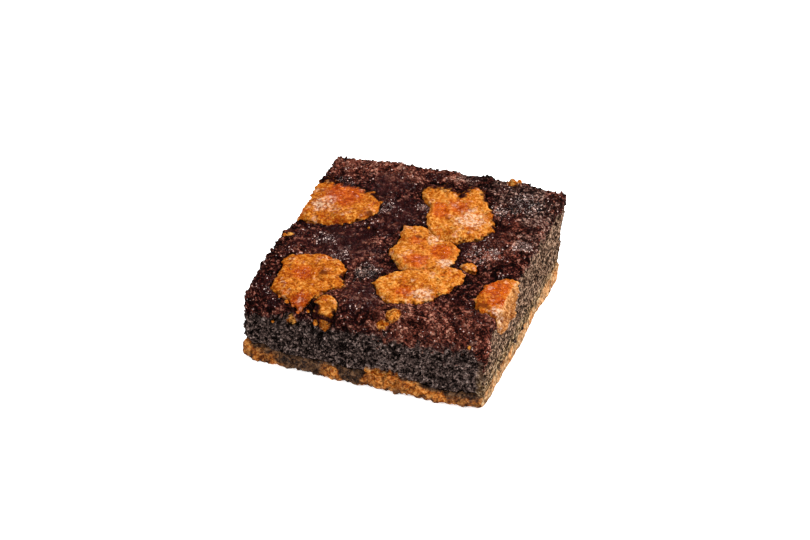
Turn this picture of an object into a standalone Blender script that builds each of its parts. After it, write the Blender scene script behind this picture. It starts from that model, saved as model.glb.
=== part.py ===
"""A brookie: one square slice of a tray bake.

A dark brownie layer lies on a thin cookie base, and lumps of cookie dough are baked into its top.
The slice stands on Z = 0, centred on the Z axis. X runs along its front edge and Y towards its back.
Each layer is a box lattice bent to its real outline, and each lump is a sphere reshaped to its own
outline and sunk in a socket of the brownie.
"""

import math
from typing import NamedTuple

import bmesh
import bpy
from mathutils import Vector, noise

MM = 0.001

# The slice in plan, in millimetres.
HALF_SIDE = 35.0
CORNER_PULL = 0.004
EDGE_BULGE = {"front": 1.0, "back": 1.2, "left": 0.7, "right": 0.1}
LEFT_NOTCH_DEPTH = 1.8
LEFT_NOTCH_Y = 8.0
LEFT_NOTCH_REACH = 8.0

# Heights above the table, in millimetres.
TOP_FRONT_LEFT = 22.4
TOP_FRONT_RIGHT = 24.8
TOP_BACK_LEFT = 28.0
TOP_BACK_RIGHT = 29.4
BACK_RIGHT_FLARE = 1.1
TERRACE_RISE = 0.6
TERRACE_Y = 4.0
TERRACE_REACH = 2.5
BACK_SWELL = 1.5
BACK_SWELL_AT = (10.0, 30.0)
BACK_SWELL_REACH = 15.0
CRUST_RELIEF = 0.6
CRUST_WAVE = 5.8
RIM_REACH = 3.2
RIM_DROP = {"front": 1.9, "back": 0.9, "left": 0.9, "right": 0.8}
SEAM_FRONT = 5.1
SEAM_BACK = 7.2
SEAM_WAVE = 0.8
SEAM_WAVE_LENGTH = 13.0
LAYER_GAP = 0.3

# The cut sides: how far their crags stand in and out, and how long the crags are, in millimetres.
CRAG_DEPTH = {"front": 1.2, "back": 1.15, "left": 1.1, "right": 0.3}
CRAG_LENGTH = 3.8

# The cookie base spreads past the brownie, and its lower edge is broken away in places.
BASE_SPREAD = {"front": 0.9, "back": 0.4, "left": 0.5, "right": -0.1}
CORNER_EASE = 0.4
HEM_LIFT = 1.1
HEM_WAVE = 6.0
RIGHT_CHIP_LIFT = 2.3
RIGHT_CHIP_Y = 13.0
RIGHT_CHIP_REACH = 6.0

# How finely the shapes are cut.
BROWNIE_CELLS = 28
BROWNIE_ROWS = 8
BASE_CELLS = 28
BASE_ROWS = 3
LUMP_MERIDIANS = 30
LUMP_PARALLELS = 8
CRUMB_MERIDIANS = 12
CRUMB_PARALLELS = 6

# Cookie lumps: the rim's ragged depth, the socket's clearance and how far its cutter reaches up.
LUMP_RAGGED = 0.6
RAGGED_LENGTH = 2.6
CROWN_RELIEF = 0.3
CROWN_WAVE = 3.5
SOCKET_GAP = 0.3
CUTTER_RISE = 6.0
TRIM_RISE = 8.0

BROWNIE_COLOUR = (0.030, 0.013, 0.011)
COOKIE_BASE_COLOUR = (0.330, 0.135, 0.040)
COOKIE_LUMP_COLOUR = (0.610, 0.235, 0.045)


class Lump(NamedTuple):
    """A piece of cookie dough: its centre and corners in plan, how deep it sinks and how far it stands up."""

    centre: tuple
    depth: float
    crown: float
    corners: tuple
    meets_side: bool = False


LUMPS = {
    "cookie_lump_front": Lump(
        (9, -18), 9.5, 0.6,
        ((-2.3, -22), (-0.7, -18), (2.5, -14.5), (8, -12.5), (13, -10.5), (17.5, -8), (20.5, -9.5),
         (20.8, -14), (18, -21), (14.5, -25), (10.5, -27), (5.5, -28.5), (1.5, -26.5)),
    ),
    "cookie_lump_centre": Lump(
        (6, -3), 8.5, 0.7,
        ((-3.5, 6.5), (1, 6.5), (4.5, 5.5), (8, 2.5), (12, 2.2), (15, 0), (16, -4), (15.5, -8),
         (12, -12), (6, -14), (2, -12.5), (-1, -9), (-3.5, -6), (-2.2, -1)),
    ),
    "cookie_lump_back_right": Lump(
        (8.5, 14.5), 10.0, 0.7,
        ((-4, 25.5), (0, 25.5), (2, 28), (5, 26.5), (6, 23.5), (8, 25.5), (10, 30), (13, 26.5),
         (17, 21), (20, 14), (22.5, 12), (22, 9), (18.5, 5.5), (12, 1.6), (6, 3), (2.5, 9),
         (1.7, 15), (-1.5, 18), (-4, 22)),
    ),
    "cookie_lump_back_left": Lump(
        (-25, 11), 9.0, 0.6,
        ((-40, 24), (-32, 22.5), (-29, 20), (-23, 20), (-20, 17.7), (-17.5, 18.3), (-14, 14),
         (-13, 9), (-16, 5.5), (-21, 2), (-27, 1), (-32, 1), (-40, 2.5)),
        meets_side=True,
    ),
    "cookie_lump_front_left": Lump(
        (-20.5, -23.5), 9.0, 0.6,
        ((-30.5, -16), (-25.5, -14.5), (-20, -13.2), (-15.5, -14.7), (-11.7, -17), (-11.3, -20.5),
         (-10, -24.5), (-12.7, -28), (-15.2, -31), (-16.5, -36), (-22, -34.2), (-28.5, -31.5),
         (-28.5, -26), (-29.2, -21)),
        meets_side=True,
    ),
    "cookie_lump_front_edge": Lump(
        (-11, -35), 5.5, 0.6,
        ((-14, -32.5), (-11.5, -30.3), (-9, -31.3), (-7.8, -35), (-8.5, -41), (-13.5, -41)),
        meets_side=True,
    ),
    "cookie_lump_right": Lump(
        (33.5, -17), 9.6, 0.5,
        ((42, -7), (33, -8), (30, -10), (28, -14), (27.5, -20), (28.5, -24.5), (33, -25.7), (42, -28)),
        meets_side=True,
    ),
    "cookie_crumb_right": Lump(
        (20.6, -7), 2.6, 0.7,
        ((17.6, -7.6), (19.3, -5), (22, -6), (23.2, -9), (20.5, -8.6)),
    ),
}
CRUMBS = ("cookie_crumb_right",)

# Crumbs of cookie stuck to the brownie's top (x, y, radius) and front (x, y, z, radius), in millimetres.
TOP_CRUMBS = ((8.2, -33.3, 1.6), (20.0, 34.2, 1.5), (-33.6, -6.5, 1.3))
FRONT_CRUMBS = ((5.6, -35.4, 20.6, 1.2), (-20.3, -35.7, 16.2, 1.2))
CRUMB_FLATTEN = 0.75


def clear_scene():
    for obj in list(bpy.data.objects):
        bpy.data.objects.remove(obj)


def make_collection(name):
    collection = bpy.data.collections.new(name)
    bpy.context.scene.collection.children.link(collection)
    return collection


def make_material(name, colour, roughness):
    material = bpy.data.materials.new(name)
    material.use_nodes = True
    shader = material.node_tree.nodes["Principled BSDF"]
    shader.inputs["Base Color"].default_value = (*colour, 1.0)
    shader.inputs["Roughness"].default_value = roughness
    shader.inputs["Metallic"].default_value = 0.0
    return material


def add_object(name, shape, collection, material=None):
    """Turns a bmesh in millimetres into a named object in metres."""
    bmesh.ops.triangulate(shape, faces=shape.faces)
    bmesh.ops.scale(shape, vec=(MM, MM, MM), verts=shape.verts)
    bmesh.ops.recalc_face_normals(shape, faces=shape.faces)
    mesh = bpy.data.meshes.new(name)
    shape.to_mesh(mesh)
    shape.free()
    if material:
        mesh.materials.append(material)
    obj = bpy.data.objects.new(name, mesh)
    collection.objects.link(obj)
    return obj


def rough(x, y, z, length, seed):
    """Smooth noise from about -1 to 1, with bumps of the given length and finer ones on them."""
    point = Vector((x, y, z)) / length + Vector((seed, seed * 1.7, -seed))
    return noise.noise(point) + 0.5 * noise.noise(point * 2.1)


def hump(distance, reach):
    """1 at no distance, falling smoothly to nothing a few reaches away."""
    return math.exp(-((distance / reach) ** 2))


def side_of(s, t):
    """Which side of the slice a point of the lattice is nearest."""
    if abs(s) > abs(t):
        return "right" if s > 0 else "left"
    return "back" if t > 0 else "front"


def outward(s, t):
    """The direction out of the slice at a point on its side, square to that side except at a corner."""
    x = math.copysign(1.0, s) if abs(s) > 0.999 else 0.0
    y = math.copysign(1.0, t) if abs(t) > 0.999 else 0.0
    return Vector((x, y, 0.0)).normalized()


def plan(s, t, spread=None):
    """Where the lattice point (s, t), each from -1 to 1, lies in plan."""
    sides = ("right" if s > 0 else "left", "back" if t > 0 else "front")
    bulge_x = EDGE_BULGE[sides[0]] * (1 - t * t)
    bulge_y = EDGE_BULGE[sides[1]] * (1 - s * s)
    if spread:
        bulge_x += spread[sides[0]] * (1 - CORNER_EASE * t * t)
        bulge_y += spread[sides[1]] * (1 - CORNER_EASE * s * s)
    if s < 0:
        bulge_x -= LEFT_NOTCH_DEPTH * hump(t * HALF_SIDE - LEFT_NOTCH_Y, LEFT_NOTCH_REACH)
    pull = 1 - CORNER_PULL * abs(s * t) ** 8
    x = (HALF_SIDE * s + bulge_x * s * s * s) * pull
    y = (HALF_SIDE * t + bulge_y * t * t * t) * pull
    return x, y


def rim_drop(s, t):
    """How far the top edge is rounded down at a lattice point."""
    drop = 0.0
    for share, side in ((s, "right" if s > 0 else "left"), (t, "back" if t > 0 else "front")):
        inward = (1 - abs(share)) * HALF_SIDE / RIM_REACH
        if inward < 1:
            drop = max(drop, RIM_DROP[side] * (1 - inward) ** 2)
    return drop


def top_height(x, y):
    """The height of the brownie's top, in millimetres."""
    s = max(-1.0, min(1.0, x / HALF_SIDE))
    t = max(-1.0, min(1.0, y / HALF_SIDE))
    u, v = (s + 1) / 2, (t + 1) / 2
    front = TOP_FRONT_LEFT * (1 - u) + TOP_FRONT_RIGHT * u
    back = TOP_BACK_LEFT * (1 - u) + TOP_BACK_RIGHT * u
    height = front * (1 - v) + back * v
    height += TERRACE_RISE * math.tanh((y - TERRACE_Y) / TERRACE_REACH)
    off_x, off_y = x - BACK_SWELL_AT[0], y - BACK_SWELL_AT[1]
    height += BACK_SWELL * hump(math.hypot(off_x * 0.6, off_y), BACK_SWELL_REACH)
    height += CRUST_RELIEF * rough(x, y, 0.0, CRUST_WAVE, 3.1)
    return height - rim_drop(s, t)


def seam_height(x, y):
    """The height at which the brownie meets the cookie base, in millimetres."""
    level = SEAM_FRONT + (SEAM_BACK - SEAM_FRONT) * (y / HALF_SIDE + 1) / 2
    return level + SEAM_WAVE * rough(x, y, 0.0, SEAM_WAVE_LENGTH, 8.4)


def crag(x, y, z, side):
    """How far a cut side stands out at a point, in millimetres."""
    return CRAG_DEPTH[side] * rough(x, y, z, CRAG_LENGTH, 5.3)


def crowded(share):
    """Spaces the lattice more closely towards the rim."""
    return share * (1.3 - 0.3 * share * share)


def lattice(cells, rows):
    """A closed box surface with x and y from -1 to 1 and z from 0 to 1, in even cells."""
    shape = bmesh.new()
    bmesh.ops.create_cube(shape, size=2.0)
    for axis, cuts in ((0, cells - 1), (1, cells - 1), (2, rows - 1)):
        along = [e for e in shape.edges if abs(e.verts[0].co[axis] - e.verts[1].co[axis]) > 1e-6]
        bmesh.ops.subdivide_edges(shape, edges=along, cuts=cuts, use_grid_fill=True)
    for vertex in shape.verts:
        vertex.co.x = crowded(vertex.co.x)
        vertex.co.y = crowded(vertex.co.y)
        vertex.co.z = (vertex.co.z + 1) / 2
    return shape


def on_side(s, t):
    return max(abs(s), abs(t)) > 0.999


def brownie_shape(extra_height=0.0):
    """The brownie layer from the seam to its top, or higher by extra_height."""
    shape = lattice(BROWNIE_CELLS, BROWNIE_ROWS)
    for vertex in shape.verts:
        s, t, w = vertex.co
        x, y = plan(s, t)
        low = seam_height(x, y) + LAYER_GAP
        z = low + (top_height(x, y) + extra_height - low) * w
        flare = BACK_RIGHT_FLARE * w * max(0.0, s) ** 3 * max(0.0, t)
        vertex.co = Vector((x + flare, y, z))
        if on_side(s, t):
            vertex.co += outward(s, t) * crag(x, y, z, side_of(s, t))
    return shape


def hem_lift(x, y):
    """How far the lower edge of the base is broken away, in millimetres."""
    lift = HEM_LIFT * max(0.0, 0.25 + rough(x, y, 0.0, HEM_WAVE, 11.2))
    if x > 0.9 * HALF_SIDE:
        lift += RIGHT_CHIP_LIFT * hump(y - RIGHT_CHIP_Y, RIGHT_CHIP_REACH)
    return lift


def base_shape():
    """The cookie base, flat underneath, with a ragged lower edge."""
    shape = lattice(BASE_CELLS, BASE_ROWS)
    for vertex in shape.verts:
        s, t, w = vertex.co
        x, y = plan(s, t, BASE_SPREAD)
        low = hem_lift(x, y) if on_side(s, t) else 0.0
        z = low + (seam_height(x, y) - low) * w
        vertex.co = Vector((x, y, z))
        if on_side(s, t):
            vertex.co += outward(s, t) * 0.8 * crag(x, y, z, side_of(s, t))
    flat = [f for f in shape.faces if all(vertex.co.z < 1e-6 for vertex in f.verts)]
    bmesh.ops.dissolve_faces(shape, faces=flat)
    return shape


def reach_to(corners, angle):
    """How far a closed outline about the origin reaches in a direction."""
    way = Vector((math.cos(angle), math.sin(angle)))
    furthest = 0.0
    for start, end in zip(corners, corners[1:] + corners[:1]):
        edge = end - start
        turn = way.cross(edge)
        if abs(turn) < 1e-9:
            continue
        along_edge = start.cross(way) / turn
        along_way = start.cross(edge) / turn
        if -1e-6 <= along_edge <= 1 + 1e-6 and along_way > furthest:
            furthest = along_way
    return furthest


def lump_shape(name, lump, grow=0.0, cutter=False):
    """A lump of cookie dough, or the cutter of its socket: a sphere bent to the lump's outline.

    Below the surface it is a bowl. Above, the lump is a low crown and the cutter a straight wall.
    """
    small = name in CRUMBS
    meridians = CRUMB_MERIDIANS if small else LUMP_MERIDIANS
    parallels = CRUMB_PARALLELS if small else LUMP_PARALLELS
    centre = Vector(lump.centre)
    corners = [Vector(corner) - centre for corner in lump.corners]
    shape = bmesh.new()
    bmesh.ops.create_uvsphere(shape, u_segments=meridians, v_segments=parallels, radius=1.0)
    for vertex in shape.verts:
        angle = math.atan2(vertex.co.y, vertex.co.x)
        out = math.hypot(vertex.co.x, vertex.co.y)
        up = vertex.co.z
        edge = reach_to(corners, angle)
        rim_x, rim_y = centre.x + math.cos(angle) * edge, centre.y + math.sin(angle) * edge
        edge += LUMP_RAGGED * rough(rim_x, rim_y, 0.0, RAGGED_LENGTH, 1.9)
        if cutter and up > 0.01:
            out = min(1.0, out * 1.1)
        share = out if up > 0.01 else out ** 0.8
        way = Vector((math.cos(angle), math.sin(angle))) * share
        x, y = centre + way * edge
        if up < -0.01:
            rise = up * (lump.depth + grow)
        elif up < 0.01:
            rise = 0.0
        elif cutter:
            rise = CUTTER_RISE
        else:
            rise = lump.crown * math.sqrt(up) + CROWN_RELIEF * rough(x, y, 0.0, CROWN_WAVE, 6.6)
        height = top_height(x, y) + rise
        x, y = centre + way * (edge + grow)
        vertex.co = Vector((x, y, height))
    return shape


def cut(obj, operation, other):
    """Applies a Boolean of other to obj and leaves a plain mesh."""
    modifier = obj.modifiers.new(operation.title(), "BOOLEAN")
    modifier.operation = operation
    modifier.solver = "EXACT"
    modifier.object = other
    graph = bpy.context.evaluated_depsgraph_get()
    mesh = bpy.data.meshes.new_from_object(obj.evaluated_get(graph))
    obj.modifiers.remove(modifier)
    obj.data = mesh


def make_helper(name, shape, collection):
    """An object that only cuts others."""
    helper = add_object(name, shape, collection)
    helper.hide_render = True
    helper.display_type = "WIRE"
    return helper


def make_lumps(parts, helpers, material):
    """Every lump, cut flush where it meets a side, and clear of the lumps before it."""
    trim = make_helper("side_trim", brownie_shape(TRIM_RISE), helpers)
    lumps, cutters = [], []
    for name, lump in LUMPS.items():
        obj = add_object(name, lump_shape(name, lump), parts, material)
        for cutter in cutters:
            cut(obj, "DIFFERENCE", cutter)
        if lump.meets_side:
            cut(obj, "INTERSECT", trim)
        socket = lump_shape(name, lump, grow=SOCKET_GAP, cutter=True)
        cutters.append(make_helper("socket_" + name, socket, helpers))
        lumps.append(obj)
    return lumps, cutters


def add_stuck_crumbs(brownie, helpers):
    """Fuses small cookie crumbs to the brownie."""
    crumbs = [(x, y, top_height(x, y), radius) for x, y, radius in TOP_CRUMBS]
    crumbs.extend(FRONT_CRUMBS)
    for number, (x, y, z, radius) in enumerate(crumbs):
        shape = bmesh.new()
        bmesh.ops.create_icosphere(shape, subdivisions=1, radius=radius)
        bmesh.ops.scale(shape, vec=(1.0, 1.0, CRUMB_FLATTEN), verts=shape.verts)
        bmesh.ops.translate(shape, vec=(x, y, z), verts=shape.verts)
        crumb = make_helper(f"stuck_crumb_{number}", shape, helpers)
        cut(brownie, "UNION", crumb)


def centre_in_plan(objects):
    """Hangs the objects on an empty that brings the middle of them all to the Z axis."""
    bpy.context.view_layer.update()
    corners = [obj.matrix_world @ Vector(c) for obj in objects for c in obj.bound_box]
    middle = [(min(c[i] for c in corners) + max(c[i] for c in corners)) / 2 for i in range(2)]
    holder = bpy.data.objects.new("brookie_frame", None)
    bpy.context.scene.collection.objects.link(holder)
    for obj in objects:
        obj.parent = holder
    holder.location = (-middle[0], -middle[1], 0.0)


def main():
    clear_scene()
    parts = make_collection("brookie")
    helpers = make_collection("brookie_cutters")
    dark = make_material("brownie", BROWNIE_COLOUR, 0.55)
    baked = make_material("cookie_base", COOKIE_BASE_COLOUR, 0.8)
    golden = make_material("cookie_lump", COOKIE_LUMP_COLOUR, 0.5)

    base = add_object("cookie_base", base_shape(), parts, baked)
    brownie = add_object("brownie", brownie_shape(), parts, dark)
    lumps, cutters = make_lumps(parts, helpers, golden)
    for cutter in cutters:
        cut(brownie, "DIFFERENCE", cutter)
    add_stuck_crumbs(brownie, helpers)
    for obj in (base, brownie, *lumps):
        obj.data.shade_smooth()
        obj.data.set_sharp_from_angle(angle=math.radians(40))
    centre_in_plan([base, brownie, *lumps])


main()
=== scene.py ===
"""The looks of the brookie: a fine baked surface over each solid, with its material, light and camera."""

import math
import random

import bmesh
import bpy
import numpy as np
from mathutils import Euler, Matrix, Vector, noise
from mathutils.bvhtree import BVHTree


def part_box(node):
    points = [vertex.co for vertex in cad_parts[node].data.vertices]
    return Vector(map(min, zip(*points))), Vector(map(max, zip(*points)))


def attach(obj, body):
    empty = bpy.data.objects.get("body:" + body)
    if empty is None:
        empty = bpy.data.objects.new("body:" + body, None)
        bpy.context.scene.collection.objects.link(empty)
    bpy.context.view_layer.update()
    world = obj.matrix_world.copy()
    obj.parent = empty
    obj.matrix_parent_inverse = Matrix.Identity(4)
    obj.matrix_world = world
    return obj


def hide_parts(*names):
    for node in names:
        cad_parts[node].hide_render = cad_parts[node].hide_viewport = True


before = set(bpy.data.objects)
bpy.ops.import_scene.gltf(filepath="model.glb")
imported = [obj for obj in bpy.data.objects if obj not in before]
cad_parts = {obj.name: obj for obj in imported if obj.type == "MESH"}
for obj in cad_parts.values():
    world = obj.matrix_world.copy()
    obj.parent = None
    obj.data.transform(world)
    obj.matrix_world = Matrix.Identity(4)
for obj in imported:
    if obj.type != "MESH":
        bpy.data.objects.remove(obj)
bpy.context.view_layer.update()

MM = 0.001

# Camera: angles in degrees, distance and target in metres, lens and sensor in millimetres.
CAMERA_AZIMUTH = 20.28
CAMERA_ELEVATION = 32.28
CAMERA_ROLL = 0.64
CAMERA_DISTANCE = 0.514
CAMERA_TARGET = Vector((-0.00096, 0.00119, 0.01502))
CAMERA_LENS = 80.0
CAMERA_SENSOR = 36.0

# Floor: its size in metres, its colour, and its own light, which keeps it white under a dim studio light.
WHITE = (1.0, 1.0, 1.0, 1.0)
FLOOR_SIZE = 6.0
FLOOR_COLOUR = (0.93, 0.93, 0.93, 1.0)
FLOOR_GLOW = 0.60

# Lights: name, azimuth and elevation in degrees, distance and size in metres, power and colour.
LIGHTS = (
    ("top_light", 80.0, 66.0, 1.4, 0.30, 13.0),
    ("back_light", 197.0, 38.0, 1.2, 0.08, 8.0),
    ("right_light", 108.0, 28.0, 1.1, 0.25, 11.0, (1.0, 0.98, 0.95)),
    ("front_light", -28.0, 45.0, 1.1, 0.12, 5.0),
)
WORLD_LIGHT = 0.14

# How finely each surface is divided, in millimetres.
BROWNIE_VOXEL = 0.38
BASE_VOXEL = 0.38
LUMP_VOXEL = 0.27
SMOOTHING = {"brownie": 5, "base": 4, "lump": 3}

# Half the width and depth, in millimetres: of the brownie, of the base and of the plan that loose crumbs keep
# outside.
BROWNIE_HALF = (36.5, 36.8)
BASE_HALF = (37.0, 37.6)
CRUMB_HALF = (33.5, 33.8)

# The brownie's hidden core, which is left out: how far it reaches from the middle, and how deep it begins.
CORE_HALF = 33.0
CORE_DEPTH = 4.0

# What counts as a top: how much its normals point up, and above what height the slice's lies, in millimetres.
TOP_FACING = 0.85
TOP_ABOVE = 18.0
LUMP_TOP_FACING = 0.8

# Nodes that are lumps of cookie, and how far around a point they are looked for, in millimetres.
LUMP_NAMES = ("cookie_lump", "cookie_crumb")
LUMP_SEARCH = 4.0

# What lies at the front has a Y below this, in millimetres.
FRONT_SIDE = -30.0

# Keeps the level part of a direction.
SIDEWAYS = np.array([1.0, 1.0, 0.0])

# How far down the sides the crust reaches, and up to what height the knife cut is warm, in millimetres.
CRUST_REACH = 3.0
WARM_HEIGHT = 11.0

# The crust sinks along each lump's edge by this much, over this far, in millimetres, and is darkened there
# with painted shade.
MOAT_DEPTH = 0.25
MOAT_REACH = 0.8

# How far each lump's middle swells above its rim, in millimetres.
LUMP_SWELL = 0.12

# How far the brownie's foot reaches out and the rim of its underside comes down, to meet the base, in
# millimetres.
FOOT_SPREAD = 0.85
UNDERSIDE_DROP = 0.9

# Where cookie crumbs stick to the brownie, some of them part of its solid: centre and reach, in millimetres.
STUCK_CRUMBS = (
    ((8.6, -33.1, 23.0), 2.3),
    ((20.4, 34.4, 30.0), 2.1),
    ((-33.2, -6.3, 24.2), 1.2),
    ((6.0, -35.2, 20.6), 1.6),
    ((-19.9, -35.5, 16.2), 1.6),
    ((-9.6, -25.4, 24.0), 1.3),
    ((-14.4, -31.6, 22.9), 1.1),
)

# Places are given in plan, with their reach in millimetres. On the crust: dense painted glints, where the
# crust is also glossier.
GLINTS = (
    ((-27.4, 20.8), 3.5),
    ((-12.0, 11.5), 4.0),
    ((19.5, 18.5), 4.0),
    ((22.0, -0.5), 4.5),
    ((-22.0, -5.5), 3.5),
    ((-15.0, -11.0), 3.0),
    ((27.0, 24.0), 5.0),
    ((-5.5, -17.0), 4.0),
)
# Pale bloom.
BLOOM = (
    ((0.0, 15.0), 2.2),
    ((19.4, 18.3), 1.8),
    ((-12.0, 10.5), 1.8),
    ((32.0, 6.0), 3.0),
    ((25.5, 1.5), 1.8),
)
# Redder crust.
RUDDY = (
    ((12.0, -33.0), 11.0),
    ((29.0, -33.0), 9.0),
    ((33.0, 12.0), 8.0),
    ((-10.0, -27.0), 6.0),
    ((-30.0, 33.0), 9.0),
    ((-13.0, 34.0), 9.0),
    ((27.0, 3.0), 6.0),
    ((3.0, 34.0), 6.0),
)
# Tan grains.
TAN_GRAINS = (
    ((26.0, 27.0), 8.0),
    ((33.0, 20.0), 7.0),
    ((20.0, 33.0), 6.0),
    ((8.0, 34.0), 5.0),
    ((34.0, 8.0), 4.5),
    ((-5.6, -17.0), 3.0),
)
# Smooth crust.
SMOOTH_CRUST = (
    ((-17.0, -8.0), 9.0),
    ((-14.0, 24.0), 6.0),
    ((-6.0, 10.0), 8.0),
    ((14.0, 2.0), 5.0),
    ((20.0, 8.0), 5.0),
    ((-2.0, -28.0), 6.0),
)

# On the lumps: deep orange glaze.
GLAZE = (
    ((-25.0, 14.5), 6.0),
    ((-21.7, -23.0), 3.2),
    ((-18.0, -34.0), 2.6),
    ((5.2, 14.0), 3.0),
    ((9.5, 17.0), 3.0),
    ((2.4, -0.3), 1.8),
    ((6.3, -9.0), 3.2),
    ((11.5, -2.9), 3.4),
    ((8.0, -23.0), 2.4),
    ((31.5, -15.0), 4.0),
    ((33.5, -20.0), 2.6),
)
# Pale glossy sugar, its paleness partly a painted sheen.
PALE = (
    ((-28.8, 8.5), 3.0),
    ((14.9, 12.1), 4.2),
    ((7.5, 2.0), 1.8),
    ((14.0, -8.0), 2.0),
    ((13.1, -22.6), 2.6),
    ((34.5, -24.0), 1.6),
)
# Dark specks.
SPECKS = (
    ((-16.0, -22.3), 1.1),
    ((29.9, -22.7), 1.2),
    ((3.0, 1.6), 0.9),
    ((-14.5, 8.0), 1.0),
)
# Batter over a lump's rim.
COVERED = (
    ((8.4, 24.9), 2.2),
    ((8.3, 27.6), 2.2),
    ((8.7, 22.2), 1.3),
    ((10.4, 26.9), 1.5),
    ((15.0, 26.0), 2.0),
    ((16.0, 22.9), 1.5),
    ((-10.6, -21.6), 1.3),
    ((-13.4, -34.8), 1.4),
    ((-12.7, -36.3), 1.1),
    ((-7.6, -35.2), 0.8),
    ((-34.2, 21.8), 1.9),
    ((-31.4, 21.0), 1.7),
    ((-28.9, 20.2), 1.7),
    ((-26.4, 19.2), 1.6),
    ((-24.2, 19.6), 1.3),
    ((-21.6, 19.6), 1.2),
    ((-18.6, 18.0), 1.4),
    ((-16.0, 16.8), 1.4),
    ((-14.2, 15.6), 1.2),
    ((-3.0, 25.2), 2.4),
    ((0.2, 25.6), 2.6),
    ((3.2, 26.2), 2.8),
    ((5.6, 24.8), 2.0),
    ((17.6, 21.4), 1.2),
    ((19.8, 18.2), 1.2),
    ((21.4, 14.6), 1.3),
    ((22.6, 11.4), 1.3),
)

# Where two lumps baked into one, so no painted shade is put in the crevice between them.
JOINED = (
    ((5.0, -13.2), 3.5),
    ((11.0, -11.2), 3.5),
)

# A lump that runs down a broken side is smeared with batter below a height, but for one spot: the height, and
# the spot's place and reach.
SMEARED = {"cookie_lump_front_edge": (20.6, (-10.2, -36.2, 17.4), 1.7)}

# Lumps that baked a shade deeper than the rest.
DEEPER = ("cookie_lump_back_left", "cookie_lump_front_left", "cookie_lump_right")

# Loose crumbs: how many lie on each square millimetre of broken crumb, how far they reach from their centre
# and how far they keep from a lump's box, in millimetres. The seeds of their places and shapes give the same
# crumbs in every run.
CRUMBS_PER_AREA = 0.42
CRUMB_REACH = (0.28, 0.62)
CRUMB_CLEARANCE = 0.6
CRUMB_PLACE_SEED = 3
CRUMB_SHAPE_SEED = 7

# Loose bits of cookie: centre and reach, in millimetres.
GOLDEN_CRUMBS = (
    ((8.8, -35.8, 23.4), 0.9),
    ((7.3, -36.0, 22.3), 0.7),
    ((-11.5, -36.0, 17.4), 0.8),
    ((-10.6, -36.2, 16.5), 0.5),
    ((20.8, 12.2, 27.9), 0.8),
    ((-12.4, 2.1, 26.3), 0.45),
    ((-34.6, -7.2, 24.3), 0.6),
    ((21.6, 35.0, 30.0), 0.7),
    ((31.0, -36.0, 19.6), 0.55),
    ((-25.5, -36.0, 14.5), 0.4),
    ((-22.0, -34.3, 21.5), 0.6),
    ((-19.8, -34.9, 20.8), 0.5),
    ((-17.8, -35.4, 19.6), 0.6),
    ((-24.6, -33.6, 21.8), 0.4),
    ((-15.3, -35.6, 19.9), 0.45),
)

# How high the cookie base reaches and, along the front, how high it is golden: place along X and height, in
# millimetres. Below 0 it is dark down to the bottom edge.
SEAM_HEIGHT = 6.0
GOLDEN_FRONT = (
    (-36.0, 7.0),
    (-33.5, 6.0),
    (-31.0, 3.0),
    (-24.5, 1.6),
    (-20.0, -2.2),
    (-13.5, -2.6),
    (-10.6, 5.0),
    (-7.0, 4.4),
    (-4.8, -2.0),
    (-0.6, -1.6),
    (2.0, 7.0),
    (9.0, 6.6),
    (18.0, 5.0),
    (22.0, 3.2),
    (36.0, 3.0),
)

# The finest grains of the mottling, in millimetres.
GRIT_SIZE = 0.46

# Colours, linear, as the stops of a ramp from the darkest mottling to the lightest.
CRUST_COLOURS = (
    (0.36, (0.0045, 0.0014, 0.0015)),
    (0.50, (0.0250, 0.0045, 0.0042)),
    (0.61, (0.0950, 0.0205, 0.0150)),
    (0.72, (0.3200, 0.1200, 0.0830)),
)
RUDDY_COLOURS = (
    (0.34, (0.0110, 0.0028, 0.0024)),
    (0.49, (0.1020, 0.0240, 0.0155)),
    (0.60, (0.2450, 0.0640, 0.0400)),
    (0.71, (0.5100, 0.2350, 0.1600)),
)
TAN_COLOURS = (
    (0.36, (0.0045, 0.0026, 0.0024)),
    (0.49, (0.0420, 0.0160, 0.0130)),
    (0.58, (0.1800, 0.0900, 0.0680)),
    (0.70, (0.4600, 0.3000, 0.2400)),
)
CRUMB_COLOURS = (
    (0.38, (0.0050, 0.0033, 0.0030)),
    (0.51, (0.0790, 0.0500, 0.0435)),
    (0.63, (0.2350, 0.1600, 0.1380)),
    (0.76, (0.4400, 0.3350, 0.3000)),
)
KNIFE_COLOURS = (
    (0.39, (0.0420, 0.0200, 0.0120)),
    (0.50, (0.2200, 0.1230, 0.0780)),
    (0.61, (0.4800, 0.3150, 0.2150)),
)
LUMP_COLOURS = (
    (0.39, (0.2300, 0.0380, 0.0025)),
    (0.50, (0.4900, 0.1400, 0.0110)),
    (0.61, (0.6700, 0.3100, 0.0700)),
)
GLAZE_COLOURS = (
    (0.38, (0.2000, 0.0200, 0.0010)),
    (0.50, (0.3700, 0.0540, 0.0018)),
    (0.62, (0.5400, 0.1250, 0.0070)),
)
CUT_LUMP_COLOURS = (
    (0.38, (0.2000, 0.0560, 0.0110)),
    (0.50, (0.5000, 0.2150, 0.0600)),
    (0.62, (0.6800, 0.4000, 0.1800)),
)
BASE_COLOURS = (
    (0.38, (0.0700, 0.0150, 0.0030)),
    (0.50, (0.2500, 0.0740, 0.0130)),
    (0.62, (0.4700, 0.1950, 0.0520)),
)
BASE_GOLDEN_COLOURS = (
    (0.38, (0.2200, 0.0440, 0.0045)),
    (0.50, (0.5100, 0.1500, 0.0190)),
    (0.62, (0.7200, 0.3150, 0.0820)),
)
BASE_DARK_COLOURS = (
    (0.38, (0.0100, 0.0048, 0.0034)),
    (0.50, (0.0620, 0.0290, 0.0160)),
    (0.62, (0.1700, 0.0880, 0.0440)),
)
BASE_CUT_COLOURS = (
    (0.38, (0.1500, 0.0760, 0.0280)),
    (0.50, (0.3500, 0.2150, 0.1000)),
    (0.62, (0.5400, 0.4000, 0.2400)),
)
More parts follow.
